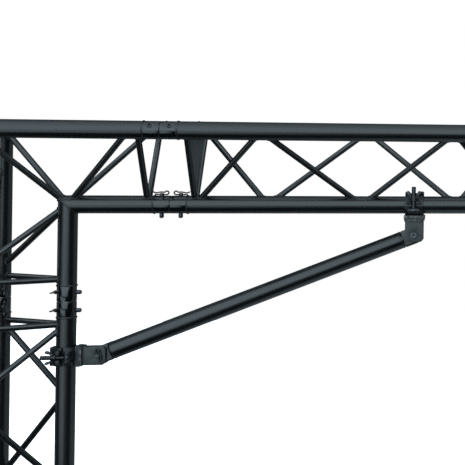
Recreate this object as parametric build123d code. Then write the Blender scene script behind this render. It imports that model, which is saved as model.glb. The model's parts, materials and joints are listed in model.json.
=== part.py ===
from build123d import *
import math
import os
from collections import namedtuple

# Triangular three-chord lighting truss: a two-way ninety degree corner with a
# beam section and a tower section, stiffened by a diagonal brace on couplers.
# Millimetres. Origin on the tower's inner chord axis at the foot plane,
# +Z up the tower, +X out along the beam, +Y to the back.

os.makedirs("parts", exist_ok=True)

# ---- truss --------------------------------------------------------------
CHORD_R = 25.0            # chord outer radius
CHORD_BORE_R = 23.0
SPACING = 240.0           # chord centre spacing, equilateral triangle
LACE_R = 8.0              # lacing outer radius
LACE_BORE_R = 6.0
MODULE = 1000.0           # straight section length
CORNER_OUT = 500.0        # outside length of each corner leg
NODES = [63.0, 256.0, 512.0, 775.0, 937.0]   # lacing nodes from a section end
CORNER_FRAME = 61.0       # corner end frame from its joint plane
CORNER_NODE = 185.0       # corner braces meet the outer chords here
OUTER_FOOT = 95.0         # back foot of an outer corner diagonal, from the elbow
PLATE_T = 3.0             # blank plate in the beam's inboard end frame
COPE_HALF = 70.0          # half length of the rods that cope the lacing
ELBOW_PAST = 60.0         # elbow tubes overrun the mitre by this much
ELBOW_COPE = 90.0         # length of an elbow's coping rods along the leg

# ---- chord joints -------------------------------------------------------
SOCKET_LEN = 44.0         # visible length of a chord-end socket
SOCKET_NECK = 16.0        # neck inside the chord tube
SOCKET_CHAMFER = 1.2
JOINT_HALF_GAP = 0.5
LAND_R = 20.5             # cylindrical land at the socket mouth
LAND_LEN = 12.0
CONE_END_R = 16.0
SPIGOT_CLEAR = 0.10
SPIGOT_HALF = 57.0
PIN_AT = 25.0             # cross pin from the joint plane
PIN_HOLE_R = 6.0
PIN_BIG_R = 5.95
PIN_SMALL_R = 5.3
PIN_LEN = 70.0
EJECTOR_R = 3.0           # bore in the pin's big end
EJECTOR_DEPTH = 8.0
INNER_PIN_PROUD = 13.0    # big end beyond an inner chord's surface
OUTER_PIN_PROUD = 3.0
CLIP_WIRE_R = 2.0
CLIP_HOLE_R = CLIP_WIRE_R + 0.4
CLIP_UP = 4.2             # clip hole from the pin's small end
CLIP_EYE_R = 4.9          # wire centreline radius of the clip's round eye

# ---- couplers and brace -------------------------------------------------
UPPER_X = 925.0           # upper coupler along the beam from the corner node
LOWER_Z = -417.0          # lower coupler along the tower from the corner node
PIVOT_DROP = 87.0         # fork pivot from the chord axis
COUPLER_HALF = 25.0
BRACE_R = 24.15
BRACE_BORE_R = 20.95
BRACE_END = 37.0          # tube end from the pivot
CAP_T = 6.0
PLUG_LEN = 20.0           # plug inside the brace tube
TONGUE_HALF = 12.0
TONGUE_R = 24.0           # rounded eye of the tongue
LOWER_EYE_R = 6.75        # pivot holes in the tongues
UPPER_EYE_R = 6.06

# ---- derived ------------------------------------------------------------
DEPTH = SPACING * math.sqrt(3) / 2      # triangle height
HALF_SPACING = SPACING / 2
LEG = CORNER_OUT - CHORD_R - DEPTH      # corner node to joint plane
NODE_Z = LEG + MODULE                   # height of the corner node
SOCKET_DEPTH = SOCKET_LEN + SOCKET_NECK
LAND_END = LAND_LEN + JOINT_HALF_GAP
CUT = 80.0                              # length of cutters that pass right through


# ---- shape helpers ------------------------------------------------------
def from_node(x, y, z):
    """Point given from the corner node."""
    return Vector(x, y, z + NODE_Z)


def rod(start, end, radius):
    run = end - start
    return Plane(origin=start, z_dir=run) * Cylinder(
        radius, run.length, align=(Align.CENTER, Align.CENTER, Align.MIN))


def tube(start, end, outer, bore):
    return rod(start, end, outer) - rod(start, end, bore)


def rod_x(radius, centre, x_min, x_max):
    """Rod along X; centre is (y, z)."""
    return Pos((x_min + x_max) / 2, *centre) * Rot(0, 90, 0) * Cylinder(radius, x_max - x_min)


def rod_y(radius, length):
    return Rot(90, 0, 0) * Cylinder(radius, length)


def block(half_x, y_min, y_max, z_min, z_max):
    """Box centred on X."""
    return Pos(0, (y_min + y_max) / 2, (z_min + z_max) / 2) * Box(
        2 * half_x, y_max - y_min, z_max - z_min)


def prism_x(outline, x_min, x_max):
    """(y, z) outline extruded along X."""
    plane = Plane(origin=(x_min, 0, 0), x_dir=(0, 1, 0), z_dir=(1, 0, 0))
    return extrude(plane * Polygon(*outline, align=None), x_max - x_min, dir=(1, 0, 0))


def sector(inner, outer, start, end, half_x):
    """Ring sector about X, angles in degrees from +Y towards +Z."""
    steps = 24
    wedge = [(0, 0)]
    for i in range(steps + 1):
        angle = math.radians(start + (end - start) * i / steps)
        wedge.append((2 * outer * math.cos(angle), 2 * outer * math.sin(angle)))
    ring = rod_x(outer, (0, 0), -half_x, half_x) - rod_x(inner, (0, 0), -half_x - 1, half_x + 1)
    return ring & prism_x(wedge, -half_x, half_x)


def turned(outline):
    """Revolve a (radius, z) outline about Z."""
    return revolve(Plane.XZ * Polygon(*outline, align=None), Axis.Z)


def largest(shape):
    return sorted(shape.solids(), key=lambda solid: -solid.volume)[0]


def save(name, shapes):
    solids = []
    for shape in (shapes if isinstance(shapes, (list, tuple)) else [shapes]):
        solids += list(shape.solids())
    if len(solids) == 1:
        out = solids[0]
    else:
        out = Compound(children=[Solid(solid.wrapped) for solid in solids])
    export_step(out, "parts/" + name + ".step")


# ---- chords and legs ----------------------------------------------------
# offset of each chord from the inner one: (y, towards the truss's outer side)
CHORDS = {"inner": (0.0, 0.0), "front": (-HALF_SPACING, DEPTH), "back": (HALF_SPACING, DEPTH)}
FACES = (("inner", "front"), ("inner", "back"), ("front", "back"))
# directions away from the middle of the beam's triangle
BEAM_OUTWARD = {"inner": Vector(0, 0, -1),
                "front": Vector(0, -math.cos(math.pi / 6), 0.5),
                "back": Vector(0, math.cos(math.pi / 6), 0.5)}


def beam_point(chord, along):
    """Point on a beam chord axis, measured from the corner node."""
    y, offset = CHORDS[chord]
    return from_node(along, y, offset)


def tower_point(chord, along):
    """Point on a tower chord axis, measured down from the corner node."""
    y, offset = CHORDS[chord]
    return from_node(-offset, y, -along)


def tower_outward(chord):
    out = BEAM_OUTWARD[chord]
    return Vector(-out.Z, out.Y, 0)


# keep: side of the mitre plane; crossed: (chord, side) pins with the clip across the chord
Leg = namedtuple("Leg", "name point along outward keep inner_name outer_name crossed")
BEAM = Leg("beam", beam_point, Vector(1, 0, 0), BEAM_OUTWARD.get, Keep.TOP,
           "lower", "top", ())
TOWER = Leg("tower", tower_point, Vector(0, 0, -1), tower_outward, Keep.BOTTOM,
            "inner", "outer", (("inner", -1), ("inner", 1), ("front", 1)))
LEGS = (BEAM, TOWER)


def chord_rod(leg, chord, along):
    """Solid length of chord that copes the lacing."""
    return rod(leg.point(chord, along - COPE_HALF), leg.point(chord, along + COPE_HALF), CHORD_R)


def elbow_point(chord):
    y, offset = CHORDS[chord]
    return from_node(-offset, y, offset)


def mitre(shape, chord, leg):
    plane = Plane(origin=elbow_point(chord), z_dir=(1, 0, 1))
    return split(shape, bisect_by=plane, keep=leg.keep)


def elbow_rods(chord):
    centre = elbow_point(chord)
    return [mitre(rod(centre - leg.along * ELBOW_PAST, centre + leg.along * ELBOW_COPE, CHORD_R),
                  chord, leg) for leg in LEGS]


def lace(start, end, cutters):
    """Lacing tube coped by the cutters, kept only between the two chords."""
    shape = tube(start, end, LACE_R, LACE_BORE_R)
    for cutter in cutters:
        shape = shape - cutter
    return largest(shape)


def lace_chords(leg, chord_a, along_a, chord_b, along_b, extra=()):
    cutters = [chord_rod(leg, chord_a, along_a), chord_rod(leg, chord_b, along_b), *extra]
    return lace(leg.point(chord_a, along_a), leg.point(chord_b, along_b), cutters)


def end_frame(leg, along):
    return [lace_chords(leg, a, along, b, along) for a, b in FACES]


# ---- joint hardware, each built with Z along its own axis ---------------
def socket(mouth, into, outward, gap):
    """Socket beside a joint plane; into points along the chord it ends."""
    shape = turned([
        (CONE_END_R, SOCKET_DEPTH), (CHORD_BORE_R, SOCKET_DEPTH),
        (CHORD_BORE_R, SOCKET_LEN), (CHORD_R, SOCKET_LEN),
        (CHORD_R, gap + SOCKET_CHAMFER), (CHORD_R - SOCKET_CHAMFER, gap),
        (LAND_R, gap), (LAND_R, gap + LAND_LEN)])
    shape = shape - Pos(0, 0, PIN_AT) * Rot(0, 90, 0) * Cylinder(PIN_HOLE_R, CUT)
    return Plane(origin=mouth, x_dir=outward, z_dir=into) * shape


def spigot_radius(z):
    taper = (LAND_R - CONE_END_R) / (SOCKET_DEPTH - LAND_END)
    return LAND_R - taper * max(0.0, z - LAND_END) - SPIGOT_CLEAR


def spigot(middle, along, outward):
    """Double-ended tapered spigot with a pin hole each side of the joint."""
    half_outline = [(spigot_radius(LAND_END), LAND_END),
                    (spigot_radius(SPIGOT_HALF - 3), SPIGOT_HALF - 3),
                    (spigot_radius(SPIGOT_HALF) - 2, SPIGOT_HALF), (0, SPIGOT_HALF)]
    shape = turned([(radius, -z) for radius, z in reversed(half_outline)] + half_outline)
    for side in (-1, 1):
        shape = shape - Pos(0, 0, side * PIN_AT) * Rot(0, 90, 0) * Cylinder(PIN_HOLE_R, CUT)
    return Plane(origin=middle, x_dir=outward, z_dir=along) * shape


def pin_top(chord):
    """Big end of a cross pin, from the chord axis."""
    return CHORD_R + (INNER_PIN_PROUD if chord == "inner" else OUTER_PIN_PROUD)


def pin(centre, outward, clip_way, top):
    """Tapered cross pin, big end outward."""
    low = top - PIN_LEN
    shape = turned([
        (0, low), (PIN_SMALL_R - 1.2, low), (PIN_SMALL_R, low + 1.2),
        (PIN_BIG_R, top - 3.5), (PIN_BIG_R - 1.0, top - 1.3), (PIN_BIG_R - 3.2, top), (0, top)])
    shape = shape - Pos(0, 0, low + CLIP_UP) * Rot(0, 90, 0) * Cylinder(CLIP_HOLE_R, CUT)
    shape = shape - Pos(0, 0, top - EJECTOR_DEPTH / 2) * Cylinder(EJECTOR_R, EJECTOR_DEPTH + 0.01)
    return Plane(origin=centre, x_dir=clip_way, z_dir=outward) * shape


def clip_wire(tip):
    """R-clip in the XZ plane: straight leg along X through the origin, round
    eye at -X, free leg passing over a pin end that rises tip above the axis."""
    top = tip + CLIP_WIRE_R + 0.9
    eye_x = -(8.8 + tip)
    neck = eye_x + 5.8
    stations = [(tip + 14, 0), (8, 0), (0, 0), (-6, 0), (eye_x, 0)]     # (x, z)
    for degrees in (-130, -170, 150, 110, 80, 55):
        angle = math.radians(degrees)
        stations.append((eye_x + CLIP_EYE_R * math.cos(angle),
                         CLIP_EYE_R + CLIP_EYE_R * math.sin(angle)))
    stations += [(neck, 6.7), (neck * 0.5, 0.35 * 6.5 + 0.65 * top), (0, top),
                 (tip + 3.2, top - 0.45 * (top - 5.0)),
                 (tip + 9, 4.9), (tip + 14, 5.6), (tip + 19, 8.0)]
    path = Spline(*[Vector(x, 0, z) for x, z in stations])
    section = Plane(origin=path @ 0, z_dir=path % 0) * Circle(CLIP_WIRE_R)
    return sweep(section, path=path, transition=Transition.ROUND)


JOINT_CLIP = clip_wire(CLIP_UP)


def joint_clip(centre, outward, way, top):
    """way is where the two legs point; the round eye lies the other way."""
    origin = centre + outward * (top - PIN_LEN + CLIP_UP)
    return Plane(origin=origin, x_dir=way, z_dir=outward * -1) * JOINT_CLIP


def save_joint(leg):
    spigots, pins, clips = [], [], []
    for chord in CHORDS:
        outward = leg.outward(chord)
        top = pin_top(chord)
        spigots.append(spigot(leg.point(chord, LEG), leg.along, outward))
        for side in (-1, 1):
            centre = leg.point(chord, LEG + side * PIN_AT)
            way = leg.along * side
            if (chord, side) in leg.crossed:
                way = leg.along.cross(outward)
            pins.append(pin(centre, outward, way, top))
            clips.append(joint_clip(centre, outward, way, top))
    save(leg.name + "_joint_spigots", spigots)
    save(leg.name + "_joint_pins", pins)
    save(leg.name + "_joint_clips", clips)


# ---- corner -------------------------------------------------------------
def corner_chord(chord):
    halves = []
    for leg in LEGS:
        start = elbow_point(chord) - leg.along * ELBOW_PAST
        half = tube(start, leg.point(chord, LEG - SOCKET_LEN), CHORD_R, CHORD_BORE_R)
        halves.append(mitre(half, chord, leg))
    return halves


def corner_side_lacing(side):
    """Three tubes fanning from the inner elbow to one outer chord."""
    start = elbow_point("inner")
    inner_rods = elbow_rods("inner")
    tubes = [lace(start, leg.point(side, CORNER_NODE),
                  inner_rods + [chord_rod(leg, side, CORNER_NODE)]) for leg in LEGS]
    return tubes + [lace(start, elbow_point(side), inner_rods + elbow_rods(side))]


def corner_outer_lacing():
    """Bar across the outer elbows and one diagonal on each outer face."""
    bar = lace(elbow_point("front"), elbow_point("back"), elbow_rods("front") + elbow_rods("back"))
    return [bar] + [lace_chords(leg, "front", CORNER_NODE, "back", -DEPTH + OUTER_FOOT)
                    for leg in LEGS]


def sockets(leg, along, direction, gap):
    return [socket(leg.point(chord, along), leg.along * direction, leg.outward(chord), gap)
            for chord in CHORDS]


def save_corner():
    for chord in CHORDS:
        save("corner_chord_" + chord, corner_chord(chord))
    for side in ("front", "back"):
        save("corner_lacing_" + side, corner_side_lacing(side))
    save("corner_lacing_outer", corner_outer_lacing())
    save("corner_end_frames", [bar for leg in LEGS for bar in end_frame(leg, LEG - CORNER_FRAME)])
    save("corner_sockets", [item for leg in LEGS for item in sockets(leg, LEG, -1, JOINT_HALF_GAP)])


# ---- straight sections --------------------------------------------------
def zigzag(leg, first, second):
    nodes = [LEG + node for node in NODES]
    last = len(nodes) - 2
    tubes = []
    for i in range(last + 1):
        a, b = (first, second) if i % 2 == 0 else (second, first)
        extra = []
        if i == last:
            # the steep last tube is coped to the end frame bar as well
            extra.append(rod(leg.point(a, nodes[-1]), leg.point(b, nodes[-1]), LACE_R))
        tubes.append(lace_chords(leg, a, nodes[i], b, nodes[i + 1], extra))
    return tubes


def save_section(leg):
    far = LEG + MODULE
    for chord in CHORDS:
        name = leg.inner_name if chord == "inner" else chord
        save(leg.name + "_chord_" + name,
             tube(leg.point(chord, LEG + SOCKET_LEN), leg.point(chord, far - SOCKET_LEN),
                  CHORD_R, CHORD_BORE_R))
    save(leg.name + "_lacing_front", zigzag(leg, "inner", "front"))
    save(leg.name + "_lacing_back", zigzag(leg, "back", "inner"))
    save(leg.name + "_lacing_" + leg.outer_name, zigzag(leg, "front", "back"))
    save(leg.name + "_end_frames",
         end_frame(leg, LEG + NODES[0]) + end_frame(leg, LEG + NODES[-1]))
    save(leg.name + "_sockets_joint", sockets(leg, LEG, 1, JOINT_HALF_GAP))
    save(leg.name + "_sockets_open", sockets(leg, far, -1, 0.0))


def beam_end_plate():
    """Blank plate closing the beam's inboard end frame."""
    along = LEG + NODES[0]
    plane = Plane(origin=from_node(along, 0, 0), x_dir=(0, 1, 0), z_dir=(1, 0, 0))
    triangle = Polygon((0, 0), (HALF_SPACING, DEPTH), (-HALF_SPACING, DEPTH), align=None)
    plate = extrude(plane * triangle, PLATE_T / 2, both=True)
    for a, b in FACES:
        plate = plate - rod(beam_point(a, along), beam_point(b, along), LACE_R)
    for chord in CHORDS:
        plate = plate - chord_rod(BEAM, chord, along)
    return largest(plate)


# ---- half coupler in its own frame --------------------------------------
# chord along X, saddle below, jaw above, hinge at the back, swing bolt at the front
SHELL_IN = CHORD_R + 0.10
SHELL_OUT = 33.0
HINGE = (38.0, 0.0)       # (y, z) of the jaw hinge
BOLT = (-37.0, -14.0)     # (y, z) of the swing bolt pivot
BOLT_Y, BOLT_Z = BOLT
LUG_TOP = 14.0
CROWN_R = LUG_TOP - BOLT_Z   # washer seat, rounded about the bolt pivot
BOLT_TOP = 54.0
BOLT_R = 5.9
BOLT_EYE_R = 9.0
BOLT_SLOT_HALF = 6.6
BOLT_CHEEK_HALF = 15.0    # outer faces of the saddle's bolt cheeks
KNUCKLE_R = 8.0           # hinge knuckles
KNUCKLE_HALF = 8.6        # jaw knuckle half width
KNUCKLE_GAP_HALF = 9.0    # gap for it in the saddle
CROSS_PIN_R = 4.0         # hinge pin and bolt pivot pin
CROSS_HOLE_R = 4.05       # their running holes
WASHER_T = 2.0
NUT_Z = LUG_TOP + WASHER_T
FOOT_Z = -46.0            # saddle foot, where the fork seats
FORK_BASE_T = 7.0
FORK_BOLT_R = 5.0
FORK_HEAD_T = 6.4
FORK_BOLT_TOP = -30.0
FORK_EAR_T = 6.0
FORK_HALF = TONGUE_HALF + 0.5 + FORK_EAR_T
FORK_PAST = 18.5          # fork ear past the pivot
FORK_CORNER_R = 9.5
PIVOT_R = 6.0
PIVOT_HEAD_Y = 21.5       # middle of the pivot pin's head
PIVOT_HEAD_T = 5.0
CLIP_Y = 22.3             # clip plane in front of the fork

# (y, z) outlines
SADDLE_HINGE_WEB = [(28, -14), (40, -7.5), (38, 0), (28, 0)]
SADDLE_BOLT_WEB = [(-24, -24), (-37, -23), (-37, -5.2), (-31, -5.2), (-26, -8)]
JAW_HINGE_WEB = [(29, 3), (38, 8), (30, 17), (26, 20), (23, 14), (27, 6)]
JAW_LUG = [(-24, 2.0), (-46, 4.0), (-47, 30), (-29, 30), (-22, 24)]
# (x, z) outline of one wing, from the bolt axis and the nut's seat
WING = [(5.0, 3.0), (9.0, 4.5), (13.5, 12.0), (18.0, 17.0), (19.5, 22.5),
        (17.5, 26.0), (14.0, 26.5), (11.0, 23.0), (9.0, 14.0), (5.5, 10.8)]


def through_x(radius, centre=(0, 0)):
    return rod_x(radius, centre, -CUT / 2, CUT / 2)


def make_saddle():
    shape = sector(SHELL_IN, SHELL_OUT, -180, 0, COUPLER_HALF)
    # stepped foot
    shape = shape + block(COUPLER_HALF + 3.5, -21, 21, -40, -29)
    shape = shape + block(COUPLER_HALF + 2, -25, 25, FOOT_Z, -39.5)
    # paired hinge knuckles, then paired bolt cheeks: (radius, centre, web, near x, far x)
    for radius, centre, web, near, far in (
            (KNUCKLE_R, HINGE, SADDLE_HINGE_WEB, KNUCKLE_GAP_HALF, COUPLER_HALF),
            (BOLT_EYE_R, BOLT, SADDLE_BOLT_WEB, BOLT_SLOT_HALF, BOLT_CHEEK_HALF)):
        for x_min, x_max in ((-far, -near), (near, far)):
            shape = shape + rod_x(radius, centre, x_min, x_max)
            shape = shape + prism_x(web, x_min, x_max)
    # room for the jaw knuckle and the bolt eye
    shape = shape - rod_x(8.6, HINGE, -KNUCKLE_GAP_HALF, KNUCKLE_GAP_HALF)
    shape = shape - rod_x(9.7, BOLT, -BOLT_SLOT_HALF, BOLT_SLOT_HALF)
    shape = shape - through_x(SHELL_IN)
    # the front of the saddle stays below the jaw
    shape = shape - block(40, -60, -20, -3.0, 20)
    shape = shape - block(BOLT_SLOT_HALF, -60, -30.4, -20, 20)
    shape = shape - through_x(CROSS_PIN_R, HINGE)
    shape = shape - through_x(CROSS_PIN_R, BOLT)
    # blind hole for the fork bolt
    return shape - Pos(0, 0, -40) * Cylinder(FORK_BOLT_R, 24)


def jaw_ear(side):
    """Raised ear at one end of the crown, sloping down to the middle."""
    outline = Plane(origin=(0, 40, 0), x_dir=(1, 0, 0), z_dir=(0, -1, 0)) * Polygon(
        (side * COUPLER_HALF, 15), (side * COUPLER_HALF, 36.5),
        (side * (COUPLER_HALF - 1.5), 38.5), (side * 17.5, 39.5),
        (side * 9.5, 31.0), (side * 9.5, 15), align=None)
    return extrude(outline, 80, dir=(0, -1, 0)) & sector(SHELL_OUT - 1, 39.5, 60, 121, COUPLER_HALF)


def make_jaw():
    jaw = sector(SHELL_IN, SHELL_OUT, 20, 176, COUPLER_HALF)
    # stiffening rib along the crown
    jaw = jaw + sector(SHELL_OUT - 1, SHELL_OUT + 1.5, 55, 112, 7.5)
    for side in (1, -1):
        jaw = jaw + jaw_ear(side)
    jaw = jaw + rod_x(KNUCKLE_R, HINGE, -KNUCKLE_HALF, KNUCKLE_HALF)
    jaw = jaw + prism_x(JAW_HINGE_WEB, -KNUCKLE_HALF, KNUCKLE_HALF)
    crown = through_x(CROWN_R, BOLT)
    jaw = jaw + (prism_x(JAW_LUG, -19, 19) & crown)
    jaw = jaw - through_x(SHELL_IN)
    slot = block(BOLT_SLOT_HALF, -60, BOLT_Y, -20, 60)
    slot = slot + Pos(0, BOLT_Y, 20) * Cylinder(BOLT_SLOT_HALF, 80)
    # the slot's inner end is squared off so the jaw can rise past the bolt
    slot = slot + block(BOLT_SLOT_HALF, -40, -30.2, 0, 60)
    jaw = jaw - slot
    # spot face around the bolt, leaving the crowned seat under the washer
    spot = Pos(0, BOLT_Y, 30) * Cylinder(11.0, 80) - crown
    jaw = jaw - (spot & block(20, -60, -20, 2, 70))
    jaw = jaw - through_x(CROSS_HOLE_R, HINGE)
    return largest(jaw)


def make_swing_bolt():
    bolt = rod_x(BOLT_EYE_R, BOLT, -6.0, 6.0)
    bolt = bolt + Pos(0, BOLT_Y, (BOLT_Z + BOLT_TOP) / 2) * Cylinder(BOLT_R, BOLT_TOP - BOLT_Z)
    bolt = bolt - through_x(CROSS_HOLE_R, BOLT)
    tip = bolt.edges().filter_by(GeomType.CIRCLE).sort_by(Axis.Z)[-1]
    return chamfer(tip, 1.2)


def make_washer():
    return Pos(0, BOLT_Y, LUG_TOP + WASHER_T / 2) * (Cylinder(10.0, WASHER_T) - Cylinder(6.3, 4))


def make_wing_nut():
    nut = Pos(0, BOLT_Y, NUT_Z) * Cone(
        9.4, 7.8, 11.0, align=(Align.CENTER, Align.CENTER, Align.MIN))
    for side in (1, -1):
        plane = Plane(origin=(0, BOLT_Y, NUT_Z), x_dir=(side, 0, 0), z_dir=(0, -side, 0))
        nut = nut + extrude(plane * Polygon(*WING, align=None), 3.0, both=True)
    return nut - Pos(0, BOLT_Y, NUT_Z + 10) * Cylinder(BOLT_R + 0.06, 60)


def make_fork():
    end_z = -(PIVOT_DROP + FORK_PAST)
    outline = Plane.XZ * Polygon((-COUPLER_HALF, FOOT_Z), (COUPLER_HALF, FOOT_Z),
                                 (COUPLER_HALF, end_z), (-COUPLER_HALF, end_z), align=None)
    outline = fillet(outline.vertices().sort_by(Axis.Z)[:2], FORK_CORNER_R)
    ear_y = FORK_HALF - FORK_EAR_T / 2
    back, front = [Pos(0, y, 0) * extrude(outline, FORK_EAR_T / 2, both=True)
                   for y in (ear_y, -ear_y)]
    fork = back + front
    fork = fork + block(COUPLER_HALF, -FORK_HALF, FORK_HALF, FOOT_Z - FORK_BASE_T, FOOT_Z)
    fork = fork - Pos(0, 0, -PIVOT_DROP) * rod_y(PIVOT_R, CUT)
    return fork - Pos(0, 0, FOOT_Z) * Cylinder(FORK_BOLT_R, 30)


def make_fork_bolt():
    seat = FOOT_Z - FORK_BASE_T
    head = Pos(0, 0, seat - FORK_HEAD_T) * extrude(RegularPolygon(9.2, 6), FORK_HEAD_T)
    shank = Cylinder(FORK_BOLT_R, FORK_BOLT_TOP - seat)
    return head + Pos(0, 0, (seat + FORK_BOLT_TOP) / 2) * shank


def clip_frame(turn):
    """Pivot clip's own frame; its legs point turn degrees from +X towards +Z."""
    angle = math.radians(turn)
    return Plane(origin=Vector(0, -CLIP_Y, -PIVOT_DROP),
                 x_dir=Vector(math.cos(angle), 0, math.sin(angle)),
                 z_dir=Vector(-math.sin(angle), 0, math.cos(angle))).location


def make_pivot_pin(turn):
    """Pin with its head at the back and the clip's cross hole at the front."""
    head_at = Pos(0, PIVOT_HEAD_Y, -PIVOT_DROP)
    shape = Pos(0, 1.25, -PIVOT_DROP) * rod_y(PIVOT_R, 55.5)
    shape = shape + head_at * rod_y(9.5, PIVOT_HEAD_T)
    # trim flush with the head's outer face
    shape = shape - block(20, PIVOT_HEAD_Y + PIVOT_HEAD_T / 2, 40, -120, -60)
    shape = shape - clip_frame(turn) * Rot(0, 90, 0) * Cylinder(CLIP_HOLE_R, CUT)
    # centre bore in the head
    return shape - head_at * rod_y(3.2, PIVOT_HEAD_T + 0.01)


def save_couplers():
    upper = Pos(UPPER_X, 0, NODE_Z)
    lower = Pos(0, 0, NODE_Z + LOWER_Z) * Rot(0, -90, 0)
    pieces = {
        "saddle": make_saddle(),
        "jaw": make_jaw(),
        "jaw_hinge_pin": rod_x(CROSS_PIN_R, HINGE, -29.5, 29.5),
        "bolt_pivot_pin": rod_x(CROSS_PIN_R, BOLT, -16.5, 16.5),
        "swing_bolt": make_swing_bolt(),
        "washer": make_washer(),
        "wing_nut": make_wing_nut(),
        "fork": make_fork(),
        "fork_bolt": make_fork_bolt(),
    }
    for name, shape in pieces.items():
        save("upper_" + name, upper * shape)
        save("lower_" + name, lower * shape)
    # the upper pivot pin is put in from the front, the lower one from the back
    pivot_clip = clip_wire(PIVOT_R)
    upper_turn, lower_turn = 80, 200
    save("upper_pivot_pin", upper * mirror(make_pivot_pin(upper_turn), about=Plane.XZ))
    save("upper_pivot_clip", upper * mirror(clip_frame(upper_turn) * pivot_clip, about=Plane.XZ))
    save("lower_pivot_pin", lower * make_pivot_pin(lower_turn))
    save("lower_pivot_clip", lower * (clip_frame(lower_turn) * pivot_clip))


# ---- diagonal brace -----------------------------------------------------
def brace_end(pivot, into, hole_r):
    """Plug with a tongue; local +Z runs from the pivot into the tube."""
    seat = (Align.CENTER, Align.CENTER, Align.MIN)
    cap_z = BRACE_END - CAP_T
    shape = block(TONGUE_R, -TONGUE_HALF, TONGUE_HALF, 0, cap_z + 0.5)
    shape = shape + rod_y(TONGUE_R, 2 * TONGUE_HALF)
    shape = shape + Pos(0, 0, cap_z) * Cone(BRACE_R - 2.5, BRACE_R, CAP_T, align=seat)
    shape = shape + Pos(0, 0, BRACE_END) * Cylinder(BRACE_BORE_R, PLUG_LEN, align=seat)
    shape = shape - rod_y(hole_r, CUT)
    return Plane(origin=pivot, x_dir=Vector(0, 1, 0).cross(into), z_dir=into) * shape


def save_brace():
    upper = from_node(UPPER_X, 0, -PIVOT_DROP)
    lower = from_node(PIVOT_DROP, 0, LOWER_Z)
    rise = (upper - lower).normalized()
    save("brace_tube", tube(lower + rise * BRACE_END, upper - rise * BRACE_END,
                            BRACE_R, BRACE_BORE_R))
    save("brace_end_lower", brace_end(lower, rise, LOWER_EYE_R))
    save("brace_end_upper", brace_end(upper, rise * -1, UPPER_EYE_R))


save_corner()
for truss_leg in LEGS:
    save_section(truss_leg)
    save_joint(truss_leg)
save("beam_end_plate", beam_end_plate())
save_couplers()
save_brace()
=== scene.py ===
import bpy
import bmesh
import json
import math
from mathutils import Vector, Matrix


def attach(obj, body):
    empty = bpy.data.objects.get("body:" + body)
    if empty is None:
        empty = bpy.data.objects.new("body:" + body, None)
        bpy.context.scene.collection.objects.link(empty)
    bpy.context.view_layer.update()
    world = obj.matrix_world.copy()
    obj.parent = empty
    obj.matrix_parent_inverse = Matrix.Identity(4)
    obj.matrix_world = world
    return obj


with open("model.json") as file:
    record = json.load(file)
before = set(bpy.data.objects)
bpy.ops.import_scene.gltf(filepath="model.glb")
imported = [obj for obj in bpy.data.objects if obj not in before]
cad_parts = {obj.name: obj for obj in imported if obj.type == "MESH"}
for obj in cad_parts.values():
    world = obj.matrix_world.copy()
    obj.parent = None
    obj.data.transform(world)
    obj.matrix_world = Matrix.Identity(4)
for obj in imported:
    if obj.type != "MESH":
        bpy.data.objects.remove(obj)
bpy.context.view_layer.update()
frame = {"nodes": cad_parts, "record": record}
nodes = frame["nodes"]

# ---------------------------------------------------------------- sizes (m)
MM = 0.001
SP = 240.0
H = SP * math.sqrt(3) / 2
D = SP / 2
L = 500.0 - 25.0 - H
MOD = 1000.0
ZN = L + MOD
N5 = [63.0, 256.0, 512.0, 775.0, 937.0]
CR = 25.0
LR = 8.0
CH = {"in": (0.0, 0.0), "front": (-D, H), "back": (D, H)}


def V(x, y, z):
    return Vector((x, y, z + ZN))


def bp(ch, s):
    y, h = CH[ch]
    return V(s, y, h)


def tp(ch, s):
    y, h = CH[ch]
    return V(-h, y, -s)


def cpos(ch):
    y, h = CH[ch]
    return V(-h, y, h)


BX = Vector((1, 0, 0))
TZ = Vector((0, 0, -1))


# ---------------------------------------------------------------- materials
class Mat:
    """Small helper to lay out a node material."""

    def __init__(self, name):
        self.m = bpy.data.materials.new(name)
        self.m.use_nodes = True
        self.t = self.m.node_tree
        self.t.nodes.clear()
        self.out = self.n("ShaderNodeOutputMaterial")
        self.b = self.n("ShaderNodeBsdfPrincipled")
        self.l(self.b.outputs[0], self.out.inputs[0])

    def n(self, kind, **kw):
        x = self.t.nodes.new(kind)
        for k, v in kw.items():
            setattr(x, k, v)
        return x

    def l(self, a, b):
        self.t.links.new(a, b)

    def val(self, node, key, v):
        node.inputs[key].default_value = v

    def noise(self, scale, detail=4.0, rough=0.55, vec=None):
        x = self.n("ShaderNodeTexNoise")
        x.inputs["Scale"].default_value = scale
        x.inputs["Detail"].default_value = detail
        x.inputs["Roughness"].default_value = rough
        if vec is not None:
            self.l(vec, x.inputs["Vector"])
        return x.outputs["Fac"]

    def ramp(self, fac, stops):
        x = self.n("ShaderNodeValToRGB")
        e = x.color_ramp.elements
        while len(e) > 1:
            e.remove(e[-1])
        e[0].position = stops[0][0]
        e[0].color = stops[0][1]
        for p, c in stops[1:]:
            k = e.new(p)
            k.color = c
        self.l(fac, x.inputs[0])
        return x.outputs[0]

    def rng(self, fac, a, b, c, d):
        x = self.n("ShaderNodeMapRange")
        for i, v in enumerate((a, b, c, d)):
            x.inputs[1 + i].default_value = v
        self.l(fac, x.inputs[0])
        return x.outputs[0]

    def mul(self, a, b):
        return self.math("MULTIPLY", a, b)

    def math(self, op, a, b):
        x = self.n("ShaderNodeMath", operation=op)
        for i, v in enumerate((a, b)):
            if isinstance(v, (int, float)):
                x.inputs[i].default_value = v
            else:
                self.l(v, x.inputs[i])
        return x.outputs[0]

    def mix(self, fac, a, b):
        x = self.n("ShaderNodeMix", data_type="RGBA")
        for key, v in ((0, fac), (6, a), (7, b)):
            if isinstance(v, (int, float, tuple)):
                x.inputs[key].default_value = v
            else:
                self.l(v, x.inputs[key])
        return x.outputs[2]


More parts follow.
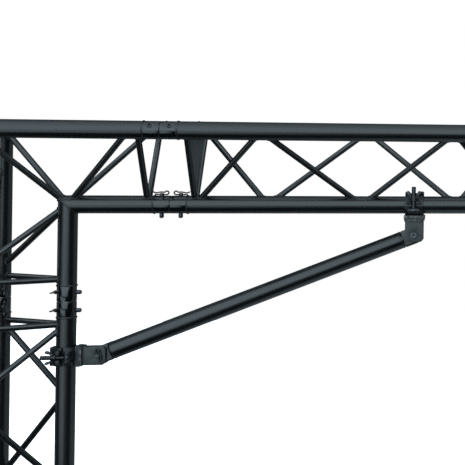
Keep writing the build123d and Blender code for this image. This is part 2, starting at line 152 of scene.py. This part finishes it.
def coat(name, base, rough, peel=0.10, metal_edge=0.35, dust=0.10, cast=0.0, spec=0.5, scale=1.0):
    """Satin powder coat: orange peel, mottled tone, rubbed edges, light dust."""
    m = Mat(name)
    co = m.n("ShaderNodeTexCoord").outputs["Object"]
    geo = m.n("ShaderNodeNewGeometry")
    tone = m.noise(14.0 * scale, 5.0, 0.6, co)
    fine = m.noise(260.0 * scale, 3.0, 0.6, co)
    lo = tuple(c * 0.90 for c in base) + (1,)
    hi = tuple(c * 1.12 for c in base) + (1,)
    col = m.ramp(tone, [(0.30, lo), (0.52, tuple(base) + (1,)), (0.72, hi)])
    # scattered scuffs, long and thin
    stretch = m.n("ShaderNodeMapping")
    stretch.inputs["Scale"].default_value = (18.0, 150.0, 60.0)
    stretch.inputs["Rotation"].default_value = (0.3, 0.5, 0.2)
    m.l(co, stretch.inputs["Vector"])
    sc = m.noise(1.0, 6.0, 0.7, stretch.outputs[0])
    scuff = m.rng(sc, 0.66, 0.74, 0.0, 1.0)
    col = m.mix(m.mul(scuff, 0.07), col, (0.075, 0.08, 0.083, 1))
    # dust settles on upward faces
    sep = m.n("ShaderNodeSeparateXYZ")
    m.l(geo.outputs["Normal"], sep.inputs[0])
    up = m.rng(sep.outputs[2], 0.55, 1.0, 0.0, 1.0)
    dn = m.rng(m.noise(55.0 * scale, 6.0, 0.7, co), 0.42, 0.75, 0.0, 1.0)
    col = m.mix(m.mul(m.mul(up, dn), dust * 0.35), col, (0.16, 0.165, 0.165, 1))
    # rubbed edges
    edge = m.rng(geo.outputs["Pointiness"], 0.56, 0.70, 0.0, 1.0)
    chip = m.rng(m.noise(95.0, 5.0, 0.65, co), 0.47, 0.60, 0.0, 1.0)
    ew = m.mul(m.mul(edge, chip), metal_edge)
    col = m.mix(ew, col, (0.20, 0.21, 0.215, 1))
    m.l(col, m.b.inputs["Base Color"])
    m.l(m.mul(ew, 0.6), m.b.inputs["Metallic"])
    r = m.rng(tone, 0.25, 0.75, rough - 0.02, rough + 0.03)
    r = m.math("ADD", r, m.mul(m.mul(up, dn), 0.12 * dust))
    r = m.math("SUBTRACT", r, m.mul(scuff, 0.05))
    m.l(r, m.b.inputs["Roughness"])
    m.b.inputs["Specular IOR Level"].default_value = spec
    h = m.math("ADD", m.mul(fine, 0.6), m.mul(m.noise(900.0, 2.0, 0.5, co), 0.4))
    if cast:
        h = m.math("ADD", h, m.mul(m.noise(150.0, 4.0, 0.6, co), cast))
    bump = m.n("ShaderNodeBump")
    bump.inputs["Strength"].default_value = peel
    bump.inputs["Distance"].default_value = 0.0006
    m.l(h, bump.inputs["Height"])
    m.l(bump.outputs[0], m.b.inputs["Normal"])
    return m.m


def metal(name, base, rough, grain=(400.0, 40.0, 40.0), strength=0.08, dark=0.6, metallic=1.0):
    """Turned or drawn metal with a fine directional grain and stains."""
    m = Mat(name)
    co = m.n("ShaderNodeTexCoord").outputs["Object"]
    mp = m.n("ShaderNodeMapping")
    mp.inputs["Scale"].default_value = grain
    m.l(co, mp.inputs["Vector"])
    g = m.noise(1.0, 4.0, 0.6, mp.outputs[0])
    st = m.noise(70.0, 5.0, 0.65, co)
    col = m.ramp(st, [(0.3, tuple(c * dark for c in base) + (1,)), (0.6, tuple(base) + (1,)), (0.8, tuple(min(1, c * 1.4) for c in base) + (1,))])
    geo = m.n("ShaderNodeNewGeometry")
    edge = m.rng(geo.outputs["Pointiness"], 0.52, 0.62, 0.0, 0.5)
    col = m.mix(edge, col, tuple(min(1, c * 2.2 + 0.05) for c in base) + (1,))
    m.l(col, m.b.inputs["Base Color"])
    m.b.inputs["Metallic"].default_value = metallic
    m.l(m.rng(g, 0.3, 0.7, rough - 0.06, rough + 0.08), m.b.inputs["Roughness"])
    bump = m.n("ShaderNodeBump")
    bump.inputs["Strength"].default_value = strength
    bump.inputs["Distance"].default_value = 0.0004
    m.l(m.math("ADD", g, m.mul(st, 0.5)), bump.inputs["Height"])
    m.l(bump.outputs[0], m.b.inputs["Normal"])
    return m.m


M = {
    "chords": coat("coat_chord", (0.0011, 0.0016, 0.0019), 0.26, peel=0.05, metal_edge=0.0, spec=0.50),
    "lacing": coat("coat_lacing", (0.0012, 0.0017, 0.0020), 0.31, peel=0.05, metal_edge=0.0, scale=1.6, spec=0.62),
    "sockets": coat("coat_socket", (0.0010, 0.0014, 0.0016), 0.11, peel=0.03, metal_edge=0.0, scale=2.0, spec=0.55),
    "plate": coat("coat_plate", (0.020, 0.024, 0.026), 0.45, peel=0.06, metal_edge=0.0, spec=0.45),
    "brace": coat("coat_brace", (0.0011, 0.0017, 0.0020), 0.25, peel=0.05, metal_edge=0.0, spec=0.50),
    "couplers": coat("coat_coupler", (0.0022, 0.0031, 0.0036), 0.38, peel=0.30, metal_edge=0.6, cast=1.1, scale=2.6, spec=0.34),
    "fork": coat("coat_fork", (0.0094, 0.0124, 0.0124), 0.42, peel=0.14, metal_edge=0.6, scale=2.2, spec=0.36),
    "weld": coat("coat_weld", (0.0020, 0.0028, 0.0032), 0.30, peel=0.20, metal_edge=0.0, cast=0.6, scale=3.0, spec=0.5),
    "fasteners": metal("black_oxide", (0.035, 0.037, 0.040), 0.36, strength=0.12),
    "pins": metal("blackened_pin", (0.050, 0.053, 0.057), 0.30, strength=0.10),
    "spring_wire": metal("blackened_wire", (0.045, 0.047, 0.050), 0.28, grain=(120.0, 120.0, 120.0), strength=0.06),
    "alloy": metal("turned_alloy", (0.55, 0.56, 0.575), 0.30, grain=(900.0, 60.0, 60.0), strength=0.10),
}

slot_of = {s["node"]: s["material_slot"] for s in frame["record"]["subparts"]}


def paint(obj, mat):
    obj.data.materials.clear()
    obj.data.materials.append(mat)


HARD = ("saddle", "jaw", "fork", "wing_nut", "swing_bolt", "washer", "brace_end", "fork_bolt", "pivot_pin", "hinge_pin", "bolt_pivot", "joint_pins", "sockets", "plate")
for n, o in nodes.items():
    s = slot_of.get(n, "chords")
    if n.endswith("_fork"):
        s = "fork"
    paint(o, M[s])
    w = o.modifiers.new("weld_verts", "WELD")
    w.merge_threshold = 0.00001
    if any(k in n for k in HARD):
        bv = o.modifiers.new("soft_edges", "BEVEL")
        bv.limit_method = "ANGLE"
        bv.angle_limit = math.radians(38)
        bv.width = 0.0009 if any(k in n for k in ("saddle", "jaw", "fork", "wing")) else 0.0005
        bv.segments = 2
        bv.use_clamp_overlap = True
        bv.harden_normals = False
    es = o.modifiers.new("crease", "EDGE_SPLIT")
    es.split_angle = math.radians(33)
    for p in o.data.polygons:
        p.use_smooth = True


# ---------------------------------------------------------------- mesh tools
def make(name, verts, faces, mat, body="truss"):
    me = bpy.data.meshes.new(name)
    me.from_pydata([tuple(v * MM) for v in verts], [], faces)
    me.validate()
    bm = bmesh.new()
    bm.from_mesh(me)
    bmesh.ops.recalc_face_normals(bm, faces=bm.faces)
    bm.to_mesh(me)
    bm.free()
    for p in me.polygons:
        p.use_smooth = True
    me.materials.append(mat)
    o = bpy.data.objects.new(name, me)
    bpy.context.scene.collection.objects.link(o)
    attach(o, body)
    return o


class Beads:
    """Collects closed weld beads swept along curves."""

    def __init__(self):
        self.v = []
        self.f = []
        self.seed = 1

    def rnd(self):
        self.seed = (self.seed * 1103515245 + 12345) % 2147483648
        return self.seed / 2147483648.0

    def loop(self, pts, outs, b0, sides=8, ripple=0.13, pitch=2.3, flat=1.0):
        """pts closed curve, outs the outward direction at each point."""
        n = len(pts)
        base = len(self.v)
        ph = self.rnd() * 6.28
        s = 0.0
        drift = [0.9 + 0.2 * self.rnd() for _ in range(9)]
        for i in range(n):
            a, b = pts[i - 1], pts[(i + 1) % n]
            t = (b - a).normalized()
            o = outs[i]
            e1 = (o - t * o.dot(t)).normalized()
            e2 = t.cross(e1)
            s += (pts[i] - pts[i - 1]).length if i else 0.0
            q = i / n * 8
            k = int(q) % 8
            dr = drift[k] * (1 - (q - int(q))) + drift[(k + 1) % 8] * (q - int(q))
            w = (2 * math.pi * s / pitch + ph)
            rip = 1.0 + ripple * math.sin(w) + 0.25 * ripple * math.sin(2 * w)
            r = b0 * dr * rip
            c = pts[i] + e1 * (0.1 * b0 * math.sin(w + 0.8))
            for j in range(sides):
                an = 2 * math.pi * j / sides
                self.v.append(c + e1 * (r * flat * math.cos(an)) + e2 * (r * math.sin(an)))
        for i in range(n):
            i2 = (i + 1) % n
            for j in range(sides):
                j2 = (j + 1) % sides
                self.f.append((base + i * sides + j, base + i * sides + j2, base + i2 * sides + j2, base + i2 * sides + j))


def perp(d):
    a = Vector((0, 0, 1)) if abs(d.z) < 0.9 else Vector((0, 1, 0))
    e1 = d.cross(a).normalized()
    return e1, d.cross(e1).normalized()


def tube_on_rod(beads, P, Q, u, b0=2.3, n=112, rod_r=CR):
    """Bead where a lacing tube from P towards Q meets the chord through P along u."""
    d = (Q - P).normalized()
    e1, e2 = perp(d)
    pts, outs = [], []
    for i in range(n):
        a = 2 * math.pi * i / n
        er = e1 * math.cos(a) + e2 * math.sin(a)
        w = er * LR
        wp = w - u * w.dot(u)
        dp = d - u * d.dot(u)
        A, B, C = dp.dot(dp), 2 * wp.dot(dp), wp.dot(wp) - rod_r * rod_r
        t = (-B + math.sqrt(max(0.0, B * B - 4 * A * C))) / (2 * A)
        p = P + w + d * t
        rad = (p - P) - u * (p - P).dot(u)
        pts.append(p)
        outs.append((er + rad.normalized()).normalized())
    beads.loop(pts, outs, b0, sides=8, ripple=0.15, pitch=2.4)


def ring(beads, c, u, r, b0, n=150, pitch=2.3, flat=0.8):
    e1, e2 = perp(u)
    pts, outs = [], []
    for i in range(n):
        a = 2 * math.pi * i / n
        er = e1 * math.cos(a) + e2 * math.sin(a)
        pts.append(c + er * r)
        outs.append(er)
    beads.loop(pts, outs, b0, sides=8, ripple=0.12, pitch=pitch, flat=flat)


# ---------------------------------------------------------------- weld beads
def section_braces(pt):
    n = [L + v for v in N5]
    out = []
    for a, b in (("in", "front"), ("back", "in"), ("front", "back")):
        for i in range(4):
            p, q = (a, b) if i % 2 == 0 else (b, a)
            out.append((pt(p, n[i]), pt(q, n[i + 1])))
    for s in (n[0], n[4]):
        for a, b in (("in", "front"), ("in", "back"), ("front", "back")):
            out.append((pt(a, s), pt(b, s)))
    return out


for name, pt, u in (("beam", bp, BX), ("tower", tp, TZ)):
    bd = Beads()
    for P, Q in section_braces(pt):
        tube_on_rod(bd, P, Q, u)
        tube_on_rod(bd, Q, P, u)
    make(name + "_lacing_welds", bd.v, bd.f, M["weld"])

bd = Beads()
IN0 = cpos("in")
for side in ("front", "back"):
    for q, u in ((bp(side, 185.0), BX), (tp(side, 185.0), TZ)):
        tube_on_rod(bd, q, IN0, u)
for pt, u in ((bp, BX), (tp, TZ)):
    s = L - 61.0
    for a, b in (("in", "front"), ("in", "back"), ("front", "back")):
        tube_on_rod(bd, pt(a, s), pt(b, s), u)
        tube_on_rod(bd, pt(b, s), pt(a, s), u)
    P, Q = pt("front", 185.0), pt("back", -H + 95.0)
    tube_on_rod(bd, P, Q, u)
    tube_on_rod(bd, Q, P, u)


def elbow_bead(P, Q, b0=2.5, n=120):
    """Bead round a tube that meets a mitred corner at P."""
    d = (Q - P).normalized()
    e1, e2 = perp(d)
    pts, outs = [], []
    for i in range(n):
        a = 2 * math.pi * i / n
        er = e1 * math.cos(a) + e2 * math.sin(a)
        w = er * LR
        best = 0.0
        for u, sgn in ((BX, 1.0), (TZ, -1.0)):
            wp = w - u * w.dot(u)
            dp = d - u * d.dot(u)
            A, B, C = dp.dot(dp), 2 * wp.dot(dp), wp.dot(wp) - CR * CR
            t = (-B + math.sqrt(max(0.0, B * B - 4 * A * C))) / (2 * A) if A > 1e-9 else 0.0
            p = w + d * t
            if (p.x + p.z) * sgn >= -0.01:
                best = max(best, t)
        if best == 0.0:
            best = 30.0
        p = P + w + d * best
        pts.append(p)
        outs.append(er)
    bd.loop(pts, outs, b0, sides=8, ripple=0.15, pitch=2.5)


for side in ("front", "back"):
    elbow_bead(IN0, bp(side, 185.0))
    elbow_bead(IN0, tp(side, 185.0))
    elbow_bead(IN0, cpos(side))
    elbow_bead(cpos(side), IN0)
elbow_bead(cpos("front"), cpos("back"))
elbow_bead(cpos("back"), cpos("front"))
make("corner_lacing_welds", bd.v, bd.f, M["weld"])

# mitre seams
bd = Beads()
for ch in CH:
    c = cpos(ch)
    n = 220
    pts, outs = [], []
    for i in range(n):
        a = 2 * math.pi * i / n
        p = Vector((-CR * math.sin(a), CR * math.cos(a), CR * math.sin(a)))
        pts.append(c + p)
        outs.append(p.normalized())
    bd.loop(pts, outs, 2.0, sides=8, ripple=0.13, pitch=2.6, flat=0.7)
make("corner_mitre_welds", bd.v, bd.f, M["weld"])

# collars where the chord-end sockets are welded in
bd = Beads()
for pt, u in ((bp, BX), (tp, TZ)):
    for ch in CH:
        for s in (L - 44.0, L + 44.0, L + MOD - 44.0):
            ring(bd, pt(ch, s), u, CR - 0.3, 2.5, flat=0.75)
make("socket_weld_collars", bd.v, bd.f, M["weld"])

# ---------------------------------------------------------------- brace welds
UPX, LOWZ, PD = 925.0, -417.0, 87.0
PU = V(UPX, 0, -PD)
PL = V(PD, 0, LOWZ)
ax = (PU - PL).normalized()
bd = Beads()
for c in (PL + ax * 37.0, PU - ax * 37.0):
    ring(bd, c, ax, 23.9, 1.5, n=150, pitch=2.3)
make("brace_plug_welds", bd.v, bd.f, M["weld"], body="brace")

# ---------------------------------------------------------------- stage
def stage_plane(name, size, z, mat):
    me = bpy.data.meshes.new(name)
    s = size / 2
    me.from_pydata([(-s, -s, z), (s, -s, z), (s, s, z), (-s, s, z)], [], [(0, 1, 2, 3)])
    me.materials.append(mat)
    o = bpy.data.objects.new(name, me)
    bpy.context.scene.collection.objects.link(o)
    return o


fm = Mat("pale_floor")
fm.t.nodes.remove(fm.b)
dif = fm.n("ShaderNodeBsdfDiffuse")
dif.inputs[0].default_value = (0.90, 0.90, 0.90, 1)
em = fm.n("ShaderNodeEmission")
em.inputs[0].default_value = (1, 1, 1, 1)
em.inputs[1].default_value = 0.62
addn = fm.n("ShaderNodeAddShader")
fm.l(dif.outputs[0], addn.inputs[0])
fm.l(em.outputs[0], addn.inputs[1])
# painted glow for reflections only: the floor emits light seen by glossy rays, dim in front of the truss and bright
# behind it, standing in for the light reflected in the tubes
floor_reflection_glow = fm.n("ShaderNodeEmission")
floor_reflection_glow.inputs[0].default_value = (0.80, 0.98, 1.09, 1)
fs = fm.n("ShaderNodeSeparateXYZ")
fm.l(fm.n("ShaderNodeNewGeometry").outputs["Position"], fs.inputs[0])
shift = fm.rng(fs.outputs[0], 0.1, 0.9, 0.0, 0.75)
near = fm.rng(fm.math("ADD", fs.outputs[1], shift), 0.02, 0.32, 0.0, 1.0)
far = fm.rng(fs.outputs[1], 0.5, 2.5, 1.0, 0.45)
across = fm.rng(fs.outputs[0], -0.1, 0.8, 0.45, 1.0)
glow = fm.mul(fm.mul(fm.mul(near, far), across), 0.60)
# and a painted glowing patch well in front on the left, seen only in reflections
painted_glow_patch = fm.mul(fm.rng(fs.outputs[1], -2.7, -1.5, 1.0, 0.0), fm.rng(fs.outputs[1], -5.6, -4.6, 0.0, 1.0))
painted_glow_patch = fm.mul(painted_glow_patch, fm.rng(fs.outputs[0], -0.5, 0.4, 1.0, 0.0))
# strength of the painted reflection glow on the floor, with a faint glow everywhere else
fm.l(fm.math("ADD", fm.math("ADD", glow, fm.mul(painted_glow_patch, 2.1)), 0.004), floor_reflection_glow.inputs[1])
lp = fm.n("ShaderNodeLightPath")
mx = fm.n("ShaderNodeMixShader")
fm.l(lp.outputs["Is Glossy Ray"], mx.inputs[0])
fm.l(addn.outputs[0], mx.inputs[1])
fm.l(floor_reflection_glow.outputs[0], mx.inputs[2])
fm.l(mx.outputs[0], fm.out.inputs[0])
stage_plane("studio_floor", 14.0, -0.0005, fm.m)

# world: white to the camera, a soft studio surround for everything else
world = bpy.data.worlds.new("studio")
bpy.context.scene.world = world
world.use_nodes = True
wt = world.node_tree
wt.nodes.clear()


def wn(kind, **kw):
    x = wt.nodes.new(kind)
    for k, v in kw.items():
        setattr(x, k, v)
    return x


def wmath(op, a, b=None):
    x = wn("ShaderNodeMath", operation=op)
    for i, v in enumerate((a, b)):
        if v is None:
            continue
        if isinstance(v, (int, float)):
            x.inputs[i].default_value = v
        else:
            wt.links.new(v, x.inputs[i])
    return x.outputs[0]


def wrng(v, a, b, c, d, smooth=True):
    x = wn("ShaderNodeMapRange", interpolation_type="SMOOTHSTEP" if smooth else "LINEAR")
    for i, k in enumerate((a, b, c, d)):
        x.inputs[1 + i].default_value = k
    wt.links.new(v, x.inputs[0])
    return x.outputs[0]


tc = wn("ShaderNodeTexCoord")
sp = wn("ShaderNodeSeparateXYZ")
wt.links.new(tc.outputs["Generated"], sp.inputs[0])
dx, dy, dz = sp.outputs
DEG = math.pi / 180
az = wmath("ARCTAN2", dx, wmath("MULTIPLY", dy, -1.0))
el = wmath("ARCSINE", dz)
aaz = wmath("ABSOLUTE", az)
# a tall soft panel in front and a little left, opening out overhead
wide = wrng(el, -2 * DEG, 38 * DEG, 20 * DEG, 84 * DEG)
off = wmath("SUBTRACT", wmath("ABSOLUTE", wmath("ADD", az, 9 * DEG)), wide)
# its lower edge drops away towards the left
low = wrng(az, -16 * DEG, -5 * DEG, -28 * DEG, 8 * DEG, False)
panel = wmath("MULTIPLY", wrng(off, 0.0, 24 * DEG, 1.0, 0.0), wrng(wmath("SUBTRACT", el, low), -38 * DEG, -2 * DEG, 0.0, 1.0))
panel = wmath("MULTIPLY", panel, wrng(el, 25 * DEG, 90 * DEG, 2.45, 1.20))
dome = wrng(el, 42 * DEG, 90 * DEG, 0.12, 1.15, False)
dome = wmath("MULTIPLY", dome, wrng(el, 36 * DEG, 46 * DEG, 0.0, 1.0))
side = wmath("MULTIPLY", wmath("MULTIPLY", wrng(aaz, 74 * DEG, 98 * DEG, 0.0, 0.40), wrng(aaz, 125 * DEG, 150 * DEG, 1.0, 0.25)),
             wrng(el, -40 * DEG, -5 * DEG, 0.2, 1.0))
back = wmath("MULTIPLY", wrng(aaz, 120 * DEG, 160 * DEG, 0.0, 0.15), wrng(el, -60 * DEG, -10 * DEG, 0.4, 1.0))
tot = wmath("ADD", wmath("MAXIMUM", wmath("MAXIMUM", panel, dome), wmath("MAXIMUM", side, back)), 0.004)
lpw = wn("ShaderNodeLightPath")
bgc = wn("ShaderNodeBackground")
bgc.inputs[0].default_value = (1, 1, 1, 1)
bgc.inputs[1].default_value = 1.0
bge = wn("ShaderNodeBackground")
bge.inputs[0].default_value = (0.80, 0.98, 1.09, 1)
wt.links.new(tot, bge.inputs[1])
mxw = wn("ShaderNodeMixShader")
wt.links.new(lpw.outputs["Is Camera Ray"], mxw.inputs[0])
wt.links.new(bge.outputs[0], mxw.inputs[1])
wt.links.new(bgc.outputs[0], mxw.inputs[2])
wo = wn("ShaderNodeOutputWorld")
wt.links.new(mxw.outputs[0], wo.inputs[0])


def area(name, loc, target, sx, sy, power, color=(1, 1, 1)):
    li = bpy.data.lights.new(name, "AREA")
    li.shape = "RECTANGLE"
    li.size, li.size_y = sx, sy
    li.energy = power
    li.color = color
    o = bpy.data.objects.new(name, li)
    o.location = loc
    o.rotation_mode = "QUATERNION"
    o.rotation_quaternion = (Vector(target) - Vector(loc)).to_track_quat("-Z", "Y")
    bpy.context.scene.collection.objects.link(o)
    o.visible_camera = False
    o.visible_glossy = False
    return o


mid = (0.45, 0.0, 1.2)
area("overhead_softbox", (0.5, -0.7, 3.9), (0.5, 0.0, 1.3), 3.4, 2.2, 60.0)
area("left_softbox", (-2.6, -1.6, 1.9), mid, 1.2, 2.4, 16.0)
area("right_softbox", (3.4, -1.9, 1.7), mid, 1.0, 2.4, 14.0)

# ---------------------------------------------------------------- camera
CAM = dict(C=(1243.43, -4100.0, 224.40), yaw=0.18844, pitch=0.00319, roll=0.01222,
           f=1375.61, px=790.44, py=127.37)


def add_camera(c):
    sy, cy = math.sin(c["yaw"]), math.cos(c["yaw"])
    sp_, cp_ = math.sin(c["pitch"]), math.cos(c["pitch"])
    fwd = Vector((sy * cp_, cy * cp_, sp_))
    right = Vector((cy, -sy, 0))
    up = right.cross(fwd)
    cr, sr = math.cos(c["roll"]), math.sin(c["roll"])
    r2 = right * cr + up * sr
    u2 = right * -sr + up * cr
    cam = bpy.data.cameras.new("camera")
    cam.sensor_width = 36.0
    cam.lens = c["f"] / 465.0 * 36.0
    cam.clip_start, cam.clip_end = 0.05, 100.0
    o = bpy.data.objects.new("camera", cam)
    R = Matrix((r2, u2, -fwd)).transposed()
    o.rotation_mode = "QUATERNION"
    o.rotation_quaternion = R.to_quaternion()
    o.location = Vector((c["C"][0], c["C"][1], c["C"][2] + ZN)) * MM
    bpy.context.scene.collection.objects.link(o)
    bpy.context.scene.camera = o
    # the lens shift belongs to this one camera position, so it fades out as
    # soon as the camera is moved to look from elsewhere
    x0 = o.location.x
    for path, val in (("shift_x", (232.5 - c["px"]) / 465.0), ("shift_y", (c["py"] - 232.5) / 465.0)):
        setattr(cam, path, val)
        dr = cam.driver_add(path).driver
        dr.type = "SCRIPTED"
        v = dr.variables.new()
        v.name = "x"
        v.type = "SINGLE_PROP"
        v.targets[0].id_type = "OBJECT"
        v.targets[0].id = o
        v.targets[0].data_path = "location.x"
        dr.expression = "%.6f * (abs(x - %.5f) < 0.001)" % (val, x0)
    return o


add_camera(CAM)
bpy.context.scene.view_settings.view_transform = "Standard"
bpy.context.scene.view_settings.look = "None"
